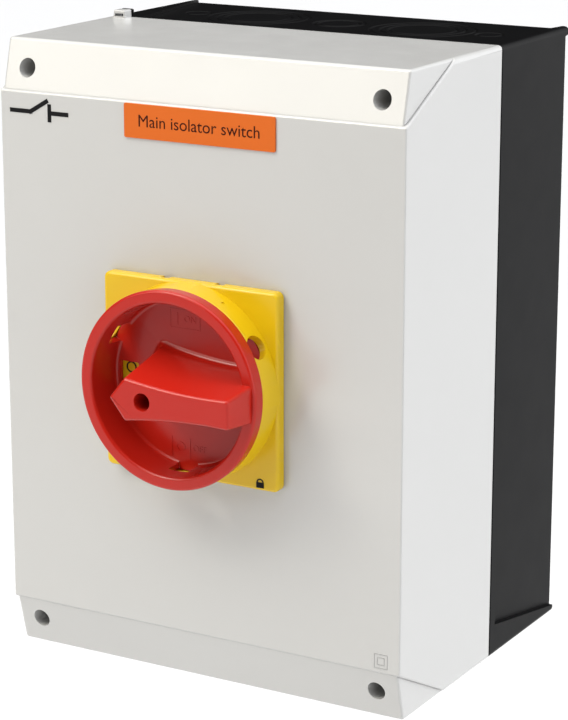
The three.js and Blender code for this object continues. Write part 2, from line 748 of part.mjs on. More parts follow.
// A cage terminal around the end of a fixed contact, open along Z for the wire
function cageTerminal(name, pole, side) {
  const { halfX, z0, z1, wall } = TERMINAL;
  const x = POLE_X[pole];
  const front = contactY(pole) - TERMINAL.front;
  const back = contactY(pole) + TERMINAL.back;
  const cage = cut(
    box(x - halfX, x + halfX, front, back, z0, z1),
    box(x - halfX + wall, x + halfX - wall, front + wall, back - wall, z0 - 1, z1 + 1),
    rod(TERMINAL.screwRadius + GAP, front - 1, front + 2, x, (z0 + z1) / 2, 12),
  );
  return mesh(name, side > 0 ? cage : cage.mirror([0, 0, 1]), BRASS);
}

function terminalScrew(name, pole, side) {
  const cageFront = contactY(pole) - TERMINAL.front;
  const tip = contactY(pole) - BLADE_THICKNESS / 2 - GAP;
  const z = side * (TERMINAL.z0 + TERMINAL.z1) / 2;
  const head = { ...PAN_HEAD, radius: 3.6 };
  return panScrew(name, cageFront - GAP, tip, POLE_X[pole], z, TERMINAL.screwRadius, head);
}

function contactBlade(pole) {
  const y = contactY(pole);
  const half = BLADE_THICKNESS / 2;
  const hole = SLEEVE_HALF + GAP;
  const blade = cut(
    join(
      box(-BLADE_LENGTH / 2, BLADE_LENGTH / 2, y - half, y + half, -BLADE_HALF_WIDTH, BLADE_HALF_WIDTH),
      rod(BLADE_HUB_RADIUS, y - half, y + half, 0, 0, 20),
    ),
    box(-hole, hole, y - half - 1, y + half + 1, -hole, hole),
  );
  return mesh(`contact_blade_${pole + 1}`, blade, COPPER);
}

function rotorSleeve() {
  const bore = SHAFT_HALF + GAP;
  const y0 = LATCH_BACK_Y + GAP;
  const y1 = FIRST_CHAMBER_Y - GAP;
  const sleeve = cut(
    box(-SLEEVE_HALF, SLEEVE_HALF, y0, y1, -SLEEVE_HALF, SLEEVE_HALF),
    box(-bore, bore, y0 - 1, y1 + 1, -bore, bore),
  );
  return mesh('rotor_sleeve', sleeve, SLEEVE_WHITE);
}

function driveShaft() {
  const back = FOOT_BACK_Y - BEARING_FLOOR - GAP;
  const shaft = box(-SHAFT_HALF, SHAFT_HALF, SOCKET_FRONT_Y + GAP, back, -SHAFT_HALF, SHAFT_HALF);
  return mesh('drive_shaft', shaft, ZINC);
}

// Latch housing: closed at the front, open to the rear, around the star wheel
function latchHousing() {
  const block = box(-BODY_HALF, BODY_HALF, LATCH_FRONT_Y, LATCH_BACK_Y, -BODY_HALF, BODY_HALF);
  const { halfX, halfZ, roof } = LATCH_CAVITY;
  const cavity = box(-halfX, halfX, LATCH_FRONT_Y + roof, LATCH_BACK_Y + 1, -halfZ, halfZ);
  const bore = rod(BEARING_RADIUS, LATCH_FRONT_Y - 1, LATCH_BACK_Y);
  const ties = tieHoles(LATCH_FRONT_Y - 1, LATCH_BACK_Y + 1);
  return mesh('latch_housing', cut(block, cavity, bore, ...ties), CHAMBER_GREY);
}

// Star wheel with a hollow every 90 degrees, which the latch springs press into
function starWheel() {
  const shape = new THREE.Shape();
  const steps = 32;
  const { radius: middle, wave } = STAR_WHEEL;
  for (let i = 0; i < steps; i += 1) {
    const angle = 2 * Math.PI * i / steps;
    const radius = middle - wave * Math.cos(4 * angle);
    const [x, z] = [radius * Math.cos(angle), radius * Math.sin(angle)];
    if (i === 0) shape.moveTo(x, z);
    else shape.lineTo(x, z);
  }
  const bore = SHAFT_HALF + GAP;
  const y0 = LATCH_FRONT_Y + STAR_WHEEL.fromFront;
  const y1 = LATCH_BACK_Y - STAR_WHEEL.fromBack;
  const wheel = cut(prismY(shape, y0, y1), box(-bore, bore, y0 - 1, y1 + 1, -bore, bore));
  return mesh('star_wheel', wheel, SLEEVE_WHITE);
}

// A leaf spring with a bead at its middle, on the left (-1) or right (+1) of the star wheel
function latchSpring(name, side) {
  const { inner, outer, halfLength, beadRadius, beadX } = LATCH_LEAF;
  const y0 = LATCH_FRONT_Y + LATCH_LEAF.fromFront;
  const y1 = LATCH_BACK_Y - LATCH_LEAF.fromBack;
  const leaf = join(
    box(inner, outer, y0, y1, -halfLength, halfLength),
    rod(beadRadius, y0, y1, beadX, 0, 12),
  );
  return mesh(name, side > 0 ? leaf : leaf.mirror([1, 0, 0]), ZINC);
}

function tieScrew(name, x, z) {
  return panScrew(name, LATCH_FRONT_Y - GAP, TIE_TIP_Y, x, z, TIE_RADIUS);
}

// Neutral and earth terminals, each pressed into the mounting plate and open along Z for the wire
const PLATE_TERMINALS = [['neutral', -16, BLUE], ['earth', 16, GREEN]];
const PLATE_TERMINAL = {
  z: -92,
  halfX: 8,
  halfZ: 10,
  height: 16,
  wireHalf: 4,
  roof: 6,
  floor: 3,
  screwRadius: 2,
  screwReach: 7,
};

function plateTerminal(kind, x, material) {
  const { z, halfX, halfZ, height, wireHalf, roof, floor, screwRadius } = PLATE_TERMINAL;
  const back = PLATE_FRONT_Y - GAP;
  const front = back - height;
  const wireFront = front + roof;
  const block = cut(
    box(x - halfX, x + halfX, front, back, z - halfZ, z + halfZ),
    box(x - wireHalf, x + wireHalf, wireFront, back - floor, z - halfZ - 1, z + halfZ + 1),
    rod(screwRadius + GAP, front - 1, wireFront + 1, x, z, 12),
  );
  return mesh(`${kind}_terminal`, block, material);
}

function plateTerminalScrew(kind, x) {
  const { z, height, screwRadius, screwReach } = PLATE_TERMINAL;
  const front = PLATE_FRONT_Y - GAP - height;
  return panScrew(`${kind}_screw`, front - GAP, front + screwReach, x, z, screwRadius);
}

// ---------------------------------------------------------------- assembly

const PLACES = ['top_left', 'top_right', 'bottom_left', 'bottom_right'];

function baseGroup() {
  const group = new THREE.Group();
  group.add(baseHousing(), mountingPlate(), switchFoot(), latchHousing());
  corners(PLATE.screwX, PLATE.screwZ).forEach(([x, z], i) => {
    group.add(panScrew(`plate_screw_${PLACES[i]}`, PLATE_FRONT_Y - GAP, PLATE_SCREW_TIP_Y, x, z));
  });
  tiePlaces().forEach(([x, z], i) => group.add(tieScrew(`tie_screw_${i + 1}`, x, z)));
  for (const pole of [0, 1, 2]) {
    group.add(contactChamber(pole));
    for (const [word, side] of [['line', 1], ['load', -1]]) {
      group.add(
        fixedContact(`${word}_contact_${pole + 1}`, pole, side),
        cageTerminal(`${word}_terminal_${pole + 1}`, pole, side),
        terminalScrew(`${word}_screw_${pole + 1}`, pole, side),
      );
    }
  }
  group.add(latchSpring('latch_spring_left', -1), latchSpring('latch_spring_right', 1));
  for (const [kind, x, material] of PLATE_TERMINALS) {
    group.add(plateTerminal(kind, x, material), plateTerminalScrew(kind, x));
  }
  return group;
}

function rotorGroup() {
  const group = new THREE.Group();
  group.add(driveShaft(), rotorSleeve(), starWheel());
  for (const pole of [0, 1, 2]) group.add(contactBlade(pole));
  return group;
}

function coverGroup() {
  const group = new THREE.Group();
  group.add(coverShell(), coverGasket(), labelPlate(), frontPlate(), frontPlateSeal(), knobSeal());
  corners(PANEL_SCREW.offset, PANEL_SCREW.offset).forEach(([x, z], i) => {
    const seat = FRONT_Y + WALL + GAP;
    group.add(panScrew(`front_plate_screw_${PLACES[i]}`, seat, atFront(PANEL_SCREW.tip), x, z));
  });
  corners(SCREW_X, SCREW_Z).forEach(([x, z], i) => {
    group.add(coverScrew(`cover_screw_${PLACES[i]}`, x, z));
  });
  return group;
}

function knobGroup() {
  const group = new THREE.Group();
  group.add(knob(), couplingSocket(), knobScrew());
  return group;
}

const isolatorSwitch = new THREE.Group();
isolatorSwitch.add(baseGroup(), rotorGroup(), coverGroup(), knobGroup());

export default isolatorSwitch;
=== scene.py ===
import json
import math

import bmesh
import bpy
from mathutils import Matrix, Vector


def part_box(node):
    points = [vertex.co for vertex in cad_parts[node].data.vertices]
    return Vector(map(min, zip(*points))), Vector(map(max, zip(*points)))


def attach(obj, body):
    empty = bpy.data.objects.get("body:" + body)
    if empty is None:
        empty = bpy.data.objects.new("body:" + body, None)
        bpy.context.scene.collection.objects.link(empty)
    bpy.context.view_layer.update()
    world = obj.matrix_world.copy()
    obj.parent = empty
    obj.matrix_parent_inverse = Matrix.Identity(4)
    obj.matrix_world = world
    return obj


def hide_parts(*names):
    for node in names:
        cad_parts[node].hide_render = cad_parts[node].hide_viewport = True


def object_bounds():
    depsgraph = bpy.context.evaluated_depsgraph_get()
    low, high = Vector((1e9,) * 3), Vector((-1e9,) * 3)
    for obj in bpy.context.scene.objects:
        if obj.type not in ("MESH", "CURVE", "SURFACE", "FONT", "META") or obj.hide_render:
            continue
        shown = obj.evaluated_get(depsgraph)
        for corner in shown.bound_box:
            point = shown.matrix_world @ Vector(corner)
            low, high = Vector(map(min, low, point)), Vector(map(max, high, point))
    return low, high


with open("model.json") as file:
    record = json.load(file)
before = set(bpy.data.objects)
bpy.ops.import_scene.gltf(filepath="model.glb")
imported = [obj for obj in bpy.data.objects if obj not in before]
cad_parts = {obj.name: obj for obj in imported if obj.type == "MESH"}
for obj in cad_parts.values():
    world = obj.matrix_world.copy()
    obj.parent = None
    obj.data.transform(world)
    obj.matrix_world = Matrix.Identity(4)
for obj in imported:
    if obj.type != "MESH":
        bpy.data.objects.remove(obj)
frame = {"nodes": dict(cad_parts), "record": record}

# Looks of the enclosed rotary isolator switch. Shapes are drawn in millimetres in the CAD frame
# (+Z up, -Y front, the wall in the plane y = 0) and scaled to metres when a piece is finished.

cad_low, cad_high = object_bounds()

MM = 0.001


def box_mm(node):
    """Lowest and highest corner of a CAD node, in millimetres."""
    low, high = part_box(node)
    return low / MM, high / MM


# ---------------------------------------------------------------- sizes from the frame

cover_low, cover_high = box_mm("cover_shell")
base_low = box_mm("base_housing")[0]
gasket_low = box_mm("cover_gasket")[0]
plate_low, plate_high = box_mm("front_plate")
knob_low, knob_high = box_mm("knob")
label_low, label_high = box_mm("label_plate")
screw_low, screw_high = box_mm("cover_screw_top_right")

# Enclosure
LUG_REACH = 3.5
LUG_NEAR = 89.0
LUG_FAR = 95.3
HALF_WIDTH = cover_high.x
HALF_HEIGHT = cover_high.z - LUG_REACH
FRONT = cover_low.y
COVER_BACK = cover_high.y
SEAM = base_low.y
WALL = 4.0
CORNER = 2.5
BEVEL_HEIGHT = 22.5
BEVEL_DEPTH = 6.25
MITRE_DEPTH = 45.0
MITRE_STEP = 1.25
CREASE_STEP = 0.6

# Screws, posts and holes, each as the (x, z) that four() mirrors into every corner
COVER_SCREW = ((screw_low.x + screw_high.x) / 2, (screw_low.z + screw_high.z) / 2)
PLATE_SCREW = (37, 37)
MOUNT_POST = (62, 98)
WALL_HOLE = (85, 100)
SCREW_SEAT = screw_low.y + 5.3
WELL_RADIUS = 4.2
SCREW_BORE = 2.8
PILOT_BORE = 1.9
WALL_BORE = 3.2
HUB_BORE = 9.2
COLUMN_RADIUS = 9.6
COLUMN_DROP = 6.0
POST_RADIUS = 6
POST_FRONT = -16
PAD_RADIUS = 7.5
PAD_FRONT = -6

# Base: how far its sides are sunk, and the radii of the knockouts at each distance from the middle
SIDE_SINK = 2.2
PANEL_SINK = 1.5
KNOCKOUTS = {-43: (24, 19.5, 15.5), 43: (24, 19.5, 15.5), 0: (12, 9.5), -76: (6,), 76: (6,)}

# Front plate
PLATE_HALF = plate_high.x
PLATE_THICKNESS = 5.4
COLLAR_TOP = FRONT - plate_low.y
POCKET_RADIUS = 40.2
POCKET_FLOOR = 4.5
PADLOCK_ANGLES = (30, 150, 270)
PADLOCK_RADIUS = 5.4
PADLOCK_HEIGHT = 12.2

# Knob, with the heights measured in front of the cover
RIM_RADIUS = knob_high.x
RIM_FRONT = 24.5
RIM_BACK = 17
SKIRT_RADIUS = 39.7
HUB_RADIUS = 8.8
MOUTH_RADIUS = 37.95
DISH_RADIUS = 37.1
DISH_FLOOR = 7.0
DISH_BACK = 5.2
GRIP_FRONT = FRONT - knob_low.y
GRIP_TIP = -16.2
GRIP_TAIL = 42.0

# Print: how far it stands proud, and how far it reaches into what it is printed on
PRINT = 0.12
BITE = 0.05


def ahead(distance):
    """Y of a point that many millimetres in front of the cover."""
    return FRONT - distance


# ---------------------------------------------------------------- mesh helpers


def link(name, mesh):
    obj = bpy.data.objects.new(name, mesh)
    bpy.context.scene.collection.objects.link(obj)
    return obj


def solid(bm):
    bmesh.ops.remove_doubles(bm, verts=bm.verts, dist=1e-5)
    bmesh.ops.recalc_face_normals(bm, faces=bm.faces)
    mesh = bpy.data.meshes.new("part")
    bm.to_mesh(mesh)
    bm.free()
    return link("part", mesh)


def loft(rings):
    """A closed solid through rings of equally many points, capped at both ends."""
    bm = bmesh.new()
    loops = [[bm.verts.new(point) for point in ring] for ring in rings]
    count = len(loops[0])
    for first, second in zip(loops, loops[1:]):
        for i in range(count):
            j = (i + 1) % count
            bm.faces.new((first[i], first[j], second[j], second[i]))
    bm.faces.new(loops[0][::-1])
    bm.faces.new(loops[-1])
    return solid(bm)


def prism(outline, axis, low, high):
    """A prism along X, Y or Z. The outline holds the other two coordinates, in that order."""
    def point(pair, along):
        values = list(pair)
        values.insert("XYZ".index(axis), along)
        return Vector(values)
    return loft([[point(pair, along) for pair in outline] for along in (low, high)])


def block(x0, x1, y0, y1, z0, z1):
    return prism([(x0, y0), (x1, y0), (x1, y1), (x0, y1)], "Z", z0, z1)


def turned(profile, sides):
    """A body turned about the Y axis from (radius, y) points that start and end on the axis."""
    bm = bmesh.new()
    rings = []
    for radius, y in profile:
        if radius < 1e-6:
            rings.append([bm.verts.new((0, y, 0))])
            continue
        turn = [2 * math.pi * i / sides for i in range(sides)]
        rings.append([bm.verts.new((radius * math.cos(a), y, radius * math.sin(a))) for a in turn])
    for first, second in zip(rings, rings[1:]):
        for i in range(sides):
            j = (i + 1) % sides
            near = [first[i % len(first)], first[j % len(first)]]
            far = [second[j % len(second)], second[i % len(second)]]
            unique = list(dict.fromkeys(near + far))
            if len(unique) > 2:
                bm.faces.new(unique)
    return solid(bm)


def rod(radius, y0, y1, x=0.0, z=0.0, sides=48):
    return place(turned([(0, y0), (radius, y0), (radius, y1), (0, y1)], sides), x, 0, z)


def rods(spots, radius, y0, y1, sides=48):
    return [rod(radius, y0, y1, x, z, sides) for x, z in spots]


def ring(inner, outer, y0, y1, sides):
    return less(rod(outer, y0, y1, sides=sides), rod(inner, y0 - 1, y1 + 1, sides=sides))


def rounded(corners, steps=5):
    """An open line through (a, b, radius) corners, each turned into an arc of that radius."""
    line = [Vector(corners[0][:2])]
    for before, here, after in zip(corners, corners[1:], corners[2:]):
        line += arc_at(Vector(before[:2]), Vector(here[:2]), Vector(after[:2]), here[2], steps)
    line.append(Vector(corners[-1][:2]))
    return line


def rounded_loop(corners, steps):
    """As rounded(), for a closed outline."""
    line = []
    for i, here in enumerate(corners):
        before = Vector(corners[i - 1][:2])
        after = Vector(corners[(i + 1) % len(corners)][:2])
        line += arc_at(before, Vector(here[:2]), after, here[2], steps)
    return line


def arc_at(before, here, after, radius, steps):
    """Points of the arc that rounds one corner, or the corner itself where the radius is 0."""
    if radius <= 0:
        return [here]
    back = (before - here).normalized()
    on = (after - here).normalized()
    half = back.angle(on) / 2
    reach = radius / math.tan(half)
    centre = here + (back + on).normalized() * (radius / math.sin(half))
    start = here + back * reach - centre
    sweep = math.copysign(math.pi - 2 * half, back.cross(on))
    return [centre + Matrix.Rotation(-sweep * i / steps, 2) @ start for i in range(steps + 1)]


def quarter_turn(steps):
    """Angles from 0 to a quarter turn."""
    return [math.pi / 2 * i / steps for i in range(steps + 1)]


def combine(target, tool, operation):
    modifier = target.modifiers.new("join", "BOOLEAN")
    modifier.operation = operation
    modifier.solver = "MANIFOLD"
    modifier.object = tool
    apply_modifiers(target)
    bpy.data.objects.remove(tool)
    return target


def plus(target, *tools):
    for tool in tools:
        combine(target, tool, "UNION")
    return target


def less(target, *tools):
    for tool in tools:
        combine(target, tool, "DIFFERENCE")
    return target


def within(target, tool):
    return combine(target, tool, "INTERSECT")


def apply_modifiers(obj):
    graph = bpy.context.evaluated_depsgraph_get()
    mesh = bpy.data.meshes.new_from_object(obj.evaluated_get(graph))
    obj.modifiers.clear()
    obj.data = mesh


def soften(obj, width, segments=3, along=None, sharp=8):
    """Rounds the edges over a sharpness in degrees, or only those of them that run along one axis."""
    bm = bmesh.new()
    bm.from_mesh(obj.data)
    chosen = []
    for edge in bm.edges:
        if len(edge.link_faces) != 2 or edge.calc_face_angle() < math.radians(sharp):
            continue
        direction = (edge.verts[1].co - edge.verts[0].co).normalized()
        if along is None or abs(direction["XYZ".index(along)]) > 0.99:
            chosen.append(edge)
    bmesh.ops.bevel(
        bm, geom=chosen, offset=width, segments=segments, profile=0.5, affect="EDGES", clamp_overlap=True)
    bm.to_mesh(obj.data)
    bm.free()
    return obj


def turn_about_y(obj, degrees):
    """Turns a solid about the Y axis, anticlockwise seen from the front."""
    obj.data.transform(Matrix.Rotation(math.radians(-degrees), 4, "Y"))
    return obj


def copy_of(obj):
    return link("copy", obj.data.copy())


def four(x, z):
    """The four mirror images of a point in the plane of the front."""
    return [(-x, z), (x, z), (-x, -z), (x, -z)]


def place(obj, x, y, z):
    obj.data.transform(Matrix.Translation((x, y, z)))
    return obj


def finish_piece(obj, name, material, body, slot, *nodes, smooth=28):
    """Scales a solid to metres, shades it, and rides it on its body in place of its CAD nodes."""
    obj.name = name
    obj.data.name = name
    obj.data.transform(Matrix.Scale(MM, 4))
    obj.data.materials.clear()
    obj.data.materials.append(material)
    for polygon in obj.data.polygons:
        polygon.use_smooth = True
        polygon.material_index = 0
    obj.data.set_sharp_from_angle(angle=math.radians(smooth))
    weighted = obj.modifiers.new("weighted", "WEIGHTED_NORMAL")
    weighted.keep_sharp = True
    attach(obj, body)
    if nodes:
        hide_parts(*nodes)
    return obj


# ---------------------------------------------------------------- camera, light and floor


def make_camera():
    data = bpy.data.cameras.new("camera")
    data.lens = 125.92
    data.sensor_width = 36
    camera = bpy.data.objects.new("camera", data)
    camera.location = (0.5550, -1.0464, 0.2898)
    camera.rotation_euler = (math.radians(74.92), 0, math.radians(29.99))
    bpy.context.scene.collection.objects.link(camera)
    bpy.context.scene.camera = camera


def area_light(name, position, target, size, power, colour):
    data = bpy.data.lights.new(name, "AREA")
    data.shape = "RECTANGLE"
    data.size, data.size_y = size
    data.energy = power
    data.color = colour
    light = bpy.data.objects.new(name, data)
    light.location = position
    light.rotation_euler = (Vector(target) - Vector(position)).to_track_quat("-Z", "Y").to_euler()
    bpy.context.scene.collection.objects.link(light)


def sky(tree, direction, dark, power):
    """World light that grows towards one direction, from none at the cosine `dark` of the angle to it."""
    where = tree.nodes.new("ShaderNodeTexCoord")
    towards = tree.nodes.new("ShaderNodeVectorMath")
    towards.operation = "DOT_PRODUCT"
    towards.inputs[1].default_value = direction
    ramp = tree.nodes.new("ShaderNodeMapRange")
    ramp.inputs["From Min"].default_value = dark
    ramp.inputs["To Max"].default_value = power
    tree.links.new(where.outputs["Generated"], towards.inputs[0])
    tree.links.new(towards.outputs["Value"], ramp.inputs["Value"])
    return ramp.outputs[0]


def add_pale_backdrop(tree, lighting):
    """Where the view passes over the end of the floor it shows the floor's own white."""
    pale = tree.nodes.new("ShaderNodeBackground")
    pale.inputs["Color"].default_value = (1, 1, 1, 1)
    path = tree.nodes.new("ShaderNodeLightPath")
    mix = tree.nodes.new("ShaderNodeMixShader")
    tree.links.new(path.outputs["Is Camera Ray"], mix.inputs["Fac"])
    tree.links.new(lighting.outputs["Background"], mix.inputs[1])
    tree.links.new(pale.outputs["Background"], mix.inputs[2])
    tree.links.new(mix.outputs["Shader"], tree.nodes["World Output"].inputs["Surface"])


def make_studio():
    """Broad light from above and from the right, and warm softboxes at the upper and lower left."""
    world = bpy.data.worlds.new("studio")
    world.use_nodes = True
    tree = world.node_tree
    background = tree.nodes["Background"]
    background.inputs["Color"].default_value = (0.985, 0.99, 1, 1)
    total = tree.nodes.new("ShaderNodeMath")
    tree.links.new(sky(tree, (0, 0, 1), 0.6, 3.1), total.inputs[0])
    tree.links.new(sky(tree, (0.89, 0.45, 0), 0.3, 2.65), total.inputs[1])
    tree.links.new(total.outputs[0], background.inputs["Strength"])
    add_pale_backdrop(tree, background)
    bpy.context.scene.world = world
    warm = (1.0, 0.955, 0.85)
    target = (0, -0.1, 0)
    area_light("softbox_low_left", (-1.14, -1.85, 0.72), target, (1.3, 0.65), 12, warm)
    area_light("key_above_left", (-1.01, -1.32, 1.52), target, (0.7, 0.7), 20.5, warm)
    area_light("key_high", (-0.53, -1.06, 1.91), target, (0.7, 0.7), 7, warm)
    bpy.context.scene.view_settings.view_transform = "Standard"


def make_floor():
    """A pale floor, half a metre below the object."""
    mesh = bpy.data.meshes.new("floor")
    reach = 8
    z = cad_low.z - 0.5
    corners = [(-reach, -reach, z), (reach, -reach, z), (reach, reach, z), (-reach, reach, z)]
    mesh.from_pydata(corners, [], [(0, 1, 2, 3)])
    floor = link("floor", mesh)
    paint = bpy.data.materials.new("floor_paint")
    paint.use_nodes = True
    shader = paint.node_tree.nodes["Principled BSDF"]
    shader.inputs["Base Color"].default_value = (0.57, 0.57, 0.57, 1)
    shader.inputs["Roughness"].default_value = 0.8
    shader.inputs["Emission Color"].default_value = (1, 1, 1, 1)
    shader.inputs["Emission Strength"].default_value = 0.2
    mesh.materials.append(paint)


# ---------------------------------------------------------------- materials


class Nodes:
    """Small helper to build a node material around one Principled shader."""

    def __init__(self, name):
        self.material = bpy.data.materials.new(name)
        self.material.use_nodes = True
        self.tree = self.material.node_tree
        self.shader = self.tree.nodes["Principled BSDF"]
        coordinates = self.tree.nodes.new("ShaderNodeTexCoord")
        self.place = coordinates.outputs["Object"]

    def noise(self, scale, detail=3.0, rough=0.5):
        node = self.tree.nodes.new("ShaderNodeTexNoise")
        node.inputs["Scale"].default_value = scale
        node.inputs["Detail"].default_value = detail
        node.inputs["Roughness"].default_value = rough
        self.tree.links.new(self.place, node.inputs["Vector"])
        return node.outputs["Fac"]

    def colours(self, factor, low, high):
        node = self.tree.nodes.new("ShaderNodeValToRGB")
        node.color_ramp.elements[0].position = 0.3
        node.color_ramp.elements[1].position = 0.7
        node.color_ramp.elements[0].color = (*low, 1)
        node.color_ramp.elements[1].color = (*high, 1)
        self.tree.links.new(factor, node.inputs["Fac"])
        self.tree.links.new(node.outputs["Color"], self.shader.inputs["Base Color"])

    def roughness(self, factor, low, high):
        node = self.tree.nodes.new("ShaderNodeMapRange")
        node.inputs["From Min"].default_value = 0.3
        node.inputs["From Max"].default_value = 0.7
        node.inputs["To Min"].default_value = low
        node.inputs["To Max"].default_value = high
        self.tree.links.new(factor, node.inputs["Value"])
        self.tree.links.new(node.outputs["Result"], self.shader.inputs["Roughness"])

    def bump(self, height, distance):
        node = self.tree.nodes.new("ShaderNodeBump")
        node.inputs["Distance"].default_value = distance
        node.inputs["Strength"].default_value = 1.0
        self.tree.links.new(height, node.inputs["Height"])
        self.tree.links.new(node.outputs["Normal"], self.shader.inputs["Normal"])


def shade(colour, factor):
    return tuple(min(1.0, c * factor) for c in colour)


def plastic(name, colour, roughness, grain=2600, relief=0.00002, spread=0.01, gloss=0.5):
    """Moulded plastic: fine spark-eroded grain, slow drift in tone and in gloss."""
    nodes = Nodes(name)
    nodes.colours(nodes.noise(14), shade(colour, 1 - spread), shade(colour, 1 + spread))
    nodes.roughness(nodes.noise(60, 4), roughness - 0.02, roughness + 0.02)
    nodes.bump(nodes.noise(grain, 2), relief)
    nodes.shader.inputs["Specular IOR Level"].default_value = gloss
    return nodes.material


def metal(name, colour, roughness):
    """Plated or bare metal: fine scratches and cloudy roughness."""
    nodes = Nodes(name)
    nodes.colours(nodes.noise(120, 5), shade(colour, 0.94), shade(colour, 1.03))
    nodes.roughness(nodes.noise(300, 6), roughness - 0.05, roughness + 0.05)
    nodes.bump(nodes.noise(900, 6, 0.7), 0.00002)
    nodes.shader.inputs["Metallic"].default_value = 1.0
    return nodes.material


def make_materials():
    return {
        "cover_grey": plastic("cover_grey", (0.515, 0.515, 0.51), 0.2, gloss=0.9),
        "base_black": plastic(
            "base_black", (0.0042, 0.0042, 0.0046), 0.36, relief=0.000008, spread=0.06, gloss=0.05),
        "knob_red": plastic(
            "knob_red", (0.45, 0.014, 0.007), 0.22, grain=1800, relief=0.000006, gloss=0.35),
        "plate_yellow": plastic(
            "plate_yellow", (0.70, 0.465, 0.006), 0.25, grain=1800, relief=0.000006, gloss=0.4),
        "label_orange": plastic("label_orange", (0.62, 0.125, 0.012), 0.5, relief=0.000005, gloss=0.2),
        "rubber_black": plastic("rubber_black", (0.02, 0.02, 0.02), 0.75),
        "switch_grey": plastic("switch_grey", (0.06, 0.065, 0.07), 0.55, spread=0.1),
        "rotor_white": plastic("rotor_white", (0.68, 0.64, 0.54), 0.5),
        "terminal_blue": plastic("terminal_blue", (0.03, 0.12, 0.42), 0.45),
        "terminal_green": plastic("terminal_green", (0.05, 0.26, 0.06), 0.45),
        "cover_screw_grey": plastic("cover_screw_grey", (0.30, 0.30, 0.30), 0.5),
        "print_black": plastic("print_black", (0.008, 0.008, 0.009), 0.55, gloss=0.1),
        "print_brown": plastic("print_brown", (0.04, 0.006, 0.003), 0.55, gloss=0.1),
        "print_grey": plastic("print_grey", (0.38, 0.38, 0.38), 0.55),
        "sheet_steel": metal("sheet_steel", (0.62, 0.63, 0.64), 0.38),
        "zinc_steel": metal("zinc_steel", (0.66, 0.67, 0.69), 0.32),
        "copper": metal("copper", (0.72, 0.34, 0.18), 0.3),
        "brass": metal("brass", (0.72, 0.52, 0.22), 0.3),
    }


def slots_by_node():
    return {part["node"]: part["material_slot"] for part in frame["record"]["subparts"]}


def paint_cad_nodes(materials):
    """Every CAD node gets the procedural material of its slot in the record."""
    slots = slots_by_node()
    for name, obj in frame["nodes"].items():
        obj.data.materials.clear()
        obj.data.materials.append(materials[slots[name]])


# ---------------------------------------------------------------- enclosure


def side_view(front, knee, back, z, crease):
    """Side view of the cover as an outline in (y, z)."""
    return [(front, -crease), (knee, -z), (back, -z), (back, z), (knee, z), (front, crease)]


def bevelled_view(back):
    """The bevelled ends of the cover, which lie a step behind its middle."""
    crease = HALF_HEIGHT - BEVEL_HEIGHT
    return side_view(FRONT + CREASE_STEP, FRONT + BEVEL_DEPTH, back, HALF_HEIGHT, crease)


def mitred_view(back):
    """The middle of the cover, which ends at the mitre."""
    return side_view(FRONT, FRONT + MITRE_DEPTH, back, HALF_HEIGHT, HALF_HEIGHT - BEVEL_HEIGHT)


def inside_view(back):
    z = HALF_HEIGHT - WALL
    front = FRONT + WALL
    return side_view(front, front + BEVEL_DEPTH, back, z, z - BEVEL_HEIGHT + 1)


def sealing_lugs(y0, y1):
    """A slotted lug at the top left and its twin at the bottom right."""
    top = HALF_HEIGHT + LUG_REACH
    middle = (LUG_NEAR + LUG_FAR) / 2
    lug = soften(block(-LUG_FAR, -LUG_NEAR, y0, y1, HALF_HEIGHT - 1, top), 0.7)
    flare = [
        (-LUG_FAR - 1.2, HALF_HEIGHT - 0.5), (-LUG_FAR + 0.4, HALF_HEIGHT - 0.5),
        (-LUG_FAR + 0.4, HALF_HEIGHT + 2), (-LUG_FAR, HALF_HEIGHT + 1),
    ]
    plus(lug, prism(flare, "Y", y0 + 0.3, y1 - 0.3))
    slot_half, slot_low, slot_high = 2.35, top - 2.8, top - 1.5
    less(lug, block(-middle - slot_half, -middle + slot_half, y0 - 1, y1 + 1, slot_low, slot_high))
    return lug, turn_about_y(copy_of(lug), 180)


def rim_band(outer, inner, y0, y1):
    """A rectangular band along the rim of the enclosure, between two insets."""
    x, z = HALF_WIDTH, HALF_HEIGHT
    band = block(-x + outer, x - outer, y0, y1, -z + outer, z - outer)
    return less(band, block(-x + inner, x - inner, y0 - 1, y1 + 1, -z + inner, z - inner))


def mitre_grooves(narrow):
    """Fine grooves in the sides of the bevelled ends, along the foot of the mitre."""
    wide, deep = 0.4, 0.5
    foot = Vector((FRONT, HALF_HEIGHT - BEVEL_HEIGHT))
    head = Vector((FRONT + MITRE_DEPTH, HALF_HEIGHT))
    along = (head - foot).normalized()
    across = Vector((-along.y, along.x)) * wide
    start, end = foot - along, head + along
    grooves = []
    for side in (1, -1):
        outline = [(p.x, side * p.y) for p in (start, end, end + across, start + across)]
        grooves.append(prism(outline, "X", -HALF_WIDTH - 1, -narrow + deep))
        grooves.append(prism(outline, "X", narrow - deep, HALF_WIDTH + 1))
    return grooves


def cover_outside():
    """The cover before it is hollowed: its bevelled ends, and its wider middle between the mitres."""
    middle = prism(mitred_view(COVER_BACK), "X", -HALF_WIDTH, HALF_WIDTH)
    soften(middle, 0.8, 4)
    narrow = HALF_WIDTH - MITRE_STEP
    ends = prism(bevelled_view(COVER_BACK), "X", -narrow, narrow)
    soften(ends, 1.2, 4)
    less(ends, *mitre_grooves(narrow))
    whole = plus(ends, middle)
    return within(whole, slab(HALF_WIDTH, HALF_HEIGHT, CORNER, FRONT - 1, COVER_BACK, 0.01, 0.01))


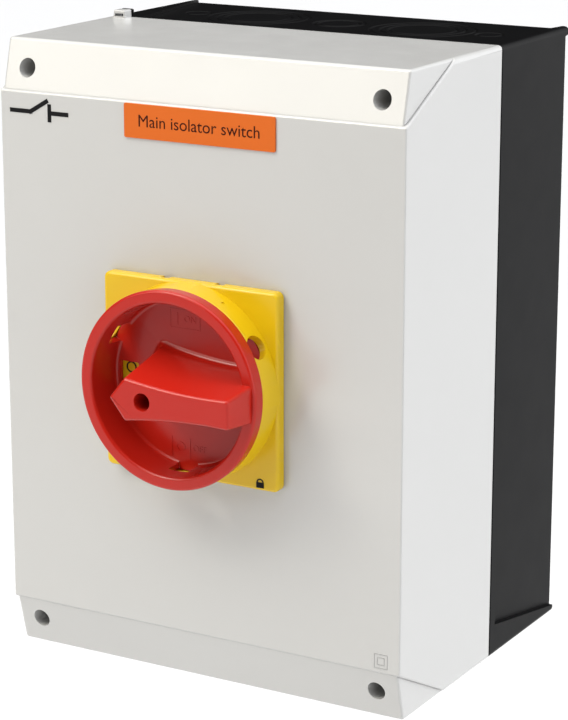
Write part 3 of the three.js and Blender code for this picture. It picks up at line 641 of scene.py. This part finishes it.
def make_cover(materials):
    back = COVER_BACK
    shell = cover_outside()
    outside = copy_of(shell)
    less(shell, prism(inside_view(back + 2), "X", -HALF_WIDTH + WALL, HALF_WIDTH - WALL))
    for column in rods(four(*COVER_SCREW), COLUMN_RADIUS, FRONT, back - 0.2):
        plus(shell, within(column, copy_of(outside)))
    bpy.data.objects.remove(outside)
    for x, z in four(*COVER_SCREW):
        well = rod(WELL_RADIUS, FRONT - 1, SCREW_SEAT, x, z)
        less(shell, well, rod(SCREW_BORE, FRONT, back + 1, x, z, 24))
    less(shell, *rods(four(*PLATE_SCREW), PILOT_BORE, FRONT - 1, FRONT + WALL + 1, 24))
    less(shell, rod(HUB_BORE, FRONT - 1, FRONT + WALL + 1))
    gasket_groove = rim_band(0.9, 3.1, gasket_low.y - 0.3, back + 1)
    less(shell, gasket_groove)
    plus(shell, *sealing_lugs(back - 6, back))
    finish_piece(shell, "cover", materials["cover_grey"], "cover", "cover_grey", "cover_shell")


def rectangle_ring(half_x, half_z, radius, inset, y):
    """A rounded rectangle at one depth, moved in by an inset."""
    x, z, r = half_x - inset, half_z - inset, max(radius - inset, 0.05)
    outline = rounded_loop([(x, -z, r), (x, z, r), (-x, z, r), (-x, -z, r)], 6)
    return [Vector((a, y, b)) for a, b in outline]


def slab(half_x, half_z, radius, front, back, front_edge, back_edge):
    """A rounded rectangular slab between two depths, with rounded front and back edges."""
    rings = []
    for angle in quarter_turn(5):
        inset = front_edge * (1 - math.sin(angle))
        y = front + front_edge * (1 - math.cos(angle))
        rings.append(rectangle_ring(half_x, half_z, radius, inset, y))
    for angle in quarter_turn(5):
        inset = back_edge * (1 - math.cos(angle))
        y = back - back_edge * (1 - math.sin(angle))
        rings.append(rectangle_ring(half_x, half_z, radius, inset, y))
    return loft(rings)


def side_recesses():
    """Four wedges that sink the sides of the base between its corner pads."""
    front, back = SEAM + 5.2, 1
    front_inset, back_inset = 14.8, 2.9

    def wedge(half):
        near, far = half - front_inset, half - back_inset
        return [(front, -near), (back, -far), (back, far), (front, near)]
    side = wedge(HALF_HEIGHT)
    end = [(x, y) for y, x in wedge(HALF_WIDTH)]
    x, z, past = HALF_WIDTH - SIDE_SINK, HALF_HEIGHT - PANEL_SINK, 5
    return [
        prism(side, "X", x, x + past), prism(side, "X", -x - past, -x),
        prism(end, "Z", z, z + past), prism(end, "Z", -z - past, -z),
    ]


def knockout_groove(radius, x, z, y):
    """A ring groove of V section in the top (z > 0) or bottom panel of the base."""
    half, deep, foot = 0.9, 0.6, 0.1
    outer = [(0, -deep), (radius + foot, -deep), (radius + half, 0), (radius + half, 1), (0, 1)]
    inner = [
        (0, -deep - 1), (radius - foot, -deep - 1), (radius - foot, -deep),
        (radius - half, 0), (radius - half, 2), (0, 2),
    ]
    groove = less(turned(outer, 96), turned(inner, 96))
    up = Matrix.Rotation(math.radians(90 if z > 0 else -90), 4, "X")
    groove.data.transform(Matrix.Translation((x, y, z)) @ up)
    return groove


def add_posts(base):
    """Columns for the cover screws, posts for the mounting plate, and pads round the wall holes."""
    foot = -WALL + 0.5
    plus(base, *rods(four(*COVER_SCREW), COLUMN_RADIUS, SEAM + COLUMN_DROP, foot))
    plus(base, *rods(four(*MOUNT_POST), POST_RADIUS, POST_FRONT, foot))
    plus(base, *rods(four(*WALL_HOLE), PAD_RADIUS, PAD_FRONT, foot))


def cut_holes(base):
    """Holes for the cover screws, for the screws of the mounting plate, and through the wall face."""
    less(base, *rods(four(*COVER_SCREW), SCREW_BORE, SEAM - 1, screw_high.y + 2, 24))
    less(base, *rods(four(*MOUNT_POST), PILOT_BORE, POST_FRONT - 1, POST_FRONT + 10, 24))
    less(base, *rods(four(*WALL_HOLE), WALL_BORE, PAD_FRONT - 3, 1))


def cut_knockouts(base):
    """The closed cable entries in the top and bottom panels."""
    panel = HALF_HEIGHT - PANEL_SINK
    middle = SEAM / 2 + 1.5
    for z in (panel, -panel):
        for x, radii in KNOCKOUTS.items():
            for radius in radii:
                less(base, knockout_groove(radius, x, z, middle))


def make_base(materials):
    base = slab(HALF_WIDTH, HALF_HEIGHT, CORNER, SEAM, 0, 0.4, 1.4)
    x, z = HALF_WIDTH - WALL, HALF_HEIGHT - WALL
    less(base, block(-x, x, SEAM - 1, -WALL, -z, z))
    add_posts(base)
    less(base, *side_recesses())
    cut_holes(base)
    cut_knockouts(base)
    plus(base, *sealing_lugs(SEAM, SEAM + 2))
    finish_piece(base, "base", materials["base_black"], "base", "base_black", "base_housing")


# ---------------------------------------------------------------- front plate


def radial(radius, start, end, height, sides=48):
    """A cylinder along X from one radius to another, at a distance in front of the cover."""
    tool = rod(radius, start, end, sides=sides)
    sideways = Matrix.Rotation(math.radians(-90), 4, "Z")
    tool.data.transform(Matrix.Translation((0, ahead(height), 0)) @ sideways)
    return tool


def top_notches():
    """Two shallow notches in the top edge of the plate."""
    half, depth = 2, 1.5
    return [
        block(x - half, x + half, ahead(3.4), ahead(-1), PLATE_HALF - depth, PLATE_HALF + 1)
        for x in (-13.6, 13.6)
    ]


def make_front_plate(materials):
    plate = slab(PLATE_HALF, PLATE_HALF, 3, ahead(PLATE_THICKNESS), plate_high.y, 1.5, 0.3)
    top = ahead(COLLAR_TOP)
    foot = ahead(PLATE_THICKNESS - 1)
    wide = PLATE_HALF - 0.1
    collar = rounded([(0, top, 0), (wide - 0.8, top, 1.0), (wide, foot, 0), (0, foot, 0)])
    plus(plate, turned(collar, 160))
    less(plate, rod(POCKET_RADIUS, top - 1, ahead(POCKET_FLOOR), sides=160))
    for angle in PADLOCK_ANGLES:
        less(plate, turn_about_y(radial(PADLOCK_RADIUS, 36, 50, PADLOCK_HEIGHT), angle))
    less(plate, *top_notches())
    dimple = radial(0.8, wide - 0.8, wide + 2, 11, sides=24)
    less(plate, turn_about_y(dimple, 62))
    less(plate, *rods(four(*PLATE_SCREW), PILOT_BORE, ahead(4), ahead(-1), 24))
    seal_seat = rod(11.3, ahead(3.5), ahead(-1))
    less(plate, rod(HUB_BORE, ahead(6), ahead(-1)), seal_seat)
    finish_piece(
        plate, "front_plate_shell", materials["plate_yellow"], "cover", "plate_yellow", "front_plate")


# ---------------------------------------------------------------- knob


def grip_outline(spread_x, spread_z, offset):
    """Section of the grip bar as (x, z): a point on the left, a waisted tail on the right."""
    def spread(x, z):
        return GRIP_TAIL + (x - GRIP_TAIL) * spread_x, z * spread_z
    shoulder, waist, corner = Vector((-8.8, 9.2)), Vector((18, 4.9)), Vector((GRIP_TAIL, 6.3))
    side = []
    for i in range(1, 12):
        t = i / 12
        side.append(shoulder * (1 - t) ** 2 + waist * 2 * t * (1 - t) + corner * t * t)
    upper = [(*shoulder, 1.2), *[(p.x, p.y, 0) for p in side], (*corner, 1.5)]
    lower = [(x, -z, r) for x, z, r in reversed(upper)]
    corners = [(*spread(x, z), r) for x, z, r in [(GRIP_TIP, 0, 1.0), *upper, *lower]]
    line = rounded_loop(corners, 5)
    moved = []
    for i, here in enumerate(line):
        before, after = line[i - 1], line[(i + 1) % len(line)]
        along = (after - before).normalized()
        moved.append(here + Vector((-along.y, along.x)) * offset)
    return moved


def grip_bar():
    """The grip bar, with a fillet at the floor of the dish and rounded front edges."""
    fillet, edge = 2.8, 1.2
    levels = [(DISH_FLOOR - 1, fillet)]
    for angle in quarter_turn(4):
        levels.append((DISH_FLOOR + fillet * (1 - math.cos(angle)), fillet * (1 - math.sin(angle))))
    for i in range(1, 8):
        levels.append((DISH_FLOOR + fillet + (GRIP_FRONT - edge - DISH_FLOOR - fillet) * i / 8, 0))
    for angle in quarter_turn(4):
        levels.append((GRIP_FRONT - edge * (1 - math.sin(angle)), -edge * (1 - math.cos(angle))))
    rings = []
    for height, offset in levels:
        depth = (GRIP_FRONT - height) / (GRIP_FRONT - DISH_FLOOR)
        outline = grip_outline(1 + 0.07 * depth, 1 + 0.63 * depth, offset)
        rings.append([Vector((x, ahead(height), z)) for x, z in outline])
    return loft(rings)


def dish_and_rim():
    """The turned part of the knob: a dish whose wide rim overhangs the skirt."""
    profile = rounded([
        (0, ahead(DISH_FLOOR), 0),
        (DISH_RADIUS, ahead(DISH_FLOOR), 1.6),
        (MOUTH_RADIUS, ahead(RIM_FRONT), 1.4),
        (RIM_RADIUS, ahead(RIM_FRONT), 1.3),
        (RIM_RADIUS - 0.6, ahead(RIM_BACK), 0.4),
        (SKIRT_RADIUS, ahead(RIM_BACK), 0),
        (SKIRT_RADIUS, ahead(DISH_BACK), 0.3),
        (0, ahead(DISH_BACK), 0),
    ], 7)
    return turned(profile, 192)


def room_for_grip():
    """The space that the grip bar keeps to, so that its tail ends in the wall of the dish."""
    front, rim, back = ahead(60), ahead(RIM_FRONT - 0.5), ahead(5.6)
    return turned([(0, front), (60, front), (60, rim), (39, rim), (38.6, back), (0, back)], 192)


def screw_hole():
    """The stepped hole for the knob screw, with a flared mouth."""
    mouth, foot, radius = ahead(50), ahead(14), 3.75
    wide = turned([(0, mouth), (6, mouth), (radius, ahead(42.9)), (radius, foot), (0, foot)], 64)
    return wide, rod(2, ahead(15), ahead(-8), sides=32)


def make_knob(materials):
    knob = dish_and_rim()
    plus(knob, within(grip_bar(), room_for_grip()))
    plus(knob, rod(HUB_RADIUS, ahead(DISH_BACK + 0.6), knob_high.y))
    half, top = 4.9, ahead(15.7)
    for angle in PADLOCK_ANGLES:
        notch = soften(block(35, 42, top, ahead(DISH_FLOOR), -half, half), 0.5, 3, along="X")
        less(knob, turn_about_y(notch, angle))
    window = soften(block(-34.5, -25, ahead(9), ahead(4), -5.2, 5.2), 0.8, 3, along="Y")
    less(knob, window, *screw_hole())
    finish_piece(knob, "knob_shell", materials["knob_red"], "knob", "knob_red", "knob")


# ---------------------------------------------------------------- label and print


def stroke(points, width, depth, closed=False):
    """A flat raised line in the plane of the front, through (x, z) points, as one solid."""
    pairs = list(zip(points, points[1:] + points[:1] if closed else points[1:]))
    whole = None
    for (x0, z0), (x1, z1) in pairs:
        a, b = Vector((x0, z0)), Vector((x1, z1))
        along = (b - a).normalized() * width / 2
        across = Vector((-along.y, along.x))
        outline = [a - along - across, b + along - across, b + along + across, a - along + across]
        part = loft([[Vector((p.x, y, p.y)) for p in outline] for y in (0, depth)])
        whole = part if whole is None else plus(whole, part)
    return whole


def words(text, cap_height, depth):
    """Raised generic lettering in the plane of the front, centred on the origin."""
    curve = bpy.data.curves.new("words", "FONT")
    curve.body = text
    curve.size = cap_height / 0.7
    curve.extrude = depth / 2
    curve.align_x = "CENTER"
    curve.align_y = "CENTER"
    source = link("words", curve)
    graph = bpy.context.evaluated_depsgraph_get()
    mesh = bpy.data.meshes.new_from_object(source.evaluated_get(graph))
    bpy.data.objects.remove(source)
    mesh.transform(Matrix.Rotation(math.radians(90), 4, "X"))
    return link("words", mesh)


def make_label(materials):
    middle = (label_low + label_high) / 2
    half_x = (label_high.x - label_low.x) / 2
    half_z = (label_high.z - label_low.z) / 2
    plate = slab(half_x, half_z, 0.8, label_low.y, FRONT, 0.15, 0.02)
    place(plate, middle.x, 0, middle.z)
    finish_piece(plate, "label", materials["label_orange"], "cover", "label_orange", "label_plate")
    text = place(words("Main isolator switch", 5.2, 0.1), middle.x, label_low.y, middle.z)
    finish_piece(text, "label_print", materials["print_brown"], "cover", "rubber_black")


def make_cover_prints(materials):
    """A generic isolator symbol at the top left, and the double square at the bottom right."""
    level, contact, line = 109, -74, 1.9
    strokes = [
        [(-94, level), (-84, level)],
        [(-84, level), (-75.5, level + 5)],
        [(contact, level), (-65, level)],
        [(contact, level - 3), (contact, level + 3)],
    ]
    symbol = plus(*[stroke(points, line, PRINT) for points in strokes])
    place(symbol, 0, ahead(PRINT), 0)
    finish_piece(symbol, "isolator_symbol", materials["print_black"], "cover", "rubber_black")
    x, z = 90.9, -112.3
    for name, half in (("outer_square", 3.1), ("inner_square", 1.6)):
        loop = [(x - half, z - half), (x + half, z - half), (x + half, z + half), (x - half, z + half)]
        square = place(stroke(loop, 0.3, PRINT, closed=True), 0, ahead(PRINT), 0)
        finish_piece(square, name, materials["print_grey"], "cover", "rubber_black")


def make_lock_mark(materials):
    """A plain padlock pictogram at the lower right of the front plate."""
    shackle = within(ring(1.15, 1.75, 0, PRINT, 48), block(-3, 3, -1, 1, -0.3, 3))
    mark = plus(block(-1.9, 1.9, 0, PRINT, -2.4, 0.1), shackle)
    place(mark, 34.8, ahead(PLATE_THICKNESS) - PRINT, -40)
    finish_piece(mark, "lock_mark", materials["print_black"], "cover", "rubber_black")


def make_position_marks(materials):
    """The off ring and on bar on the front plate, seen through the window in the knob."""
    floor = ahead(POCKET_FLOOR)
    out, aside = 30.4, 2.1
    off = place(ring(1.9, 2.6, floor - PRINT, floor + BITE, 48), -out, 0, aside)
    finish_piece(off, "off_mark", materials["print_black"], "cover", "rubber_black")
    on = place(stroke([(0, -2.2), (0, 2.2)], 0.8, PRINT + BITE), aside, floor - PRINT, out)
    finish_piece(on, "on_mark", materials["print_black"], "cover", "rubber_black")


def make_knob_relief(materials):
    """Faint raised frames with ON and OFF beside them, on the floor of the dish."""
    depth = 0.18
    floor = ahead(DISH_FLOOR)
    frames = {
        "on_frame": ([(-8.5, 23.4), (6.2, 23.4), (6.2, 31.6), (-8.5, 31.6)], True),
        "on_stroke": ([(-4.9, 25.2), (-4.9, 30.0)], False),
        "off_line_left": ([(-8.3, -34.2), (-8.3, -25.4)], False),
        "off_line_right": ([(0.8, -34.2), (0.8, -25.4)], False),
    }
    for name, (points, closed) in frames.items():
        relief = place(stroke(points, 0.45, depth + BITE, closed), 0, floor - depth, 0)
        finish_piece(relief, name, materials["knob_red"], "knob", "knob_red")
    circle = place(ring(1.7, 2.2, floor - depth, floor + BITE, 40), -3.9, 0, -29.4)
    finish_piece(circle, "off_ring", materials["knob_red"], "knob", "knob_red")
    for name, text, x, z in (("on_word", "ON", 1.4, 27.6), ("off_word", "OFF", 5.6, -29.4)):
        letters = place(words(text, 2.8, 2 * depth), x, floor, z)
        finish_piece(letters, name, materials["knob_red"], "knob", "knob_red")


# ---------------------------------------------------------------- all other pieces


def round_other_pieces(materials):
    """The pieces that aren't redrawn above keep their CAD shapes, with small rounded edges."""
    redrawn = {"cover_shell", "base_housing", "front_plate", "knob", "label_plate"}
    slots = slots_by_node()
    carried = frame["record"]["behaviour"]["bodies"].items()
    bodies = {node: body for body, nodes in carried for node in nodes}
    for name in sorted(set(frame["nodes"]) - redrawn):
        piece = link(name, frame["nodes"][name].data.copy())
        piece.data.transform(Matrix.Scale(1 / MM, 4))
        bm = bmesh.new()
        bm.from_mesh(piece.data)
        bmesh.ops.dissolve_limit(bm, angle_limit=math.radians(1), verts=bm.verts, edges=bm.edges)
        bm.to_mesh(piece.data)
        bm.free()
        soften(piece, 0.2, 2, sharp=40)
        material = materials[slots[name]]
        finish_piece(piece, name + "_rounded", material, bodies[name], slots[name], name, smooth=35)


# ---------------------------------------------------------------- scene

make_camera()
make_studio()
make_floor()
materials = make_materials()
paint_cad_nodes(materials)
make_cover(materials)
make_base(materials)
make_front_plate(materials)
make_knob(materials)
make_label(materials)
make_cover_prints(materials)
make_lock_mark(materials)
make_position_marks(materials)
make_knob_relief(materials)
round_other_pieces(materials)
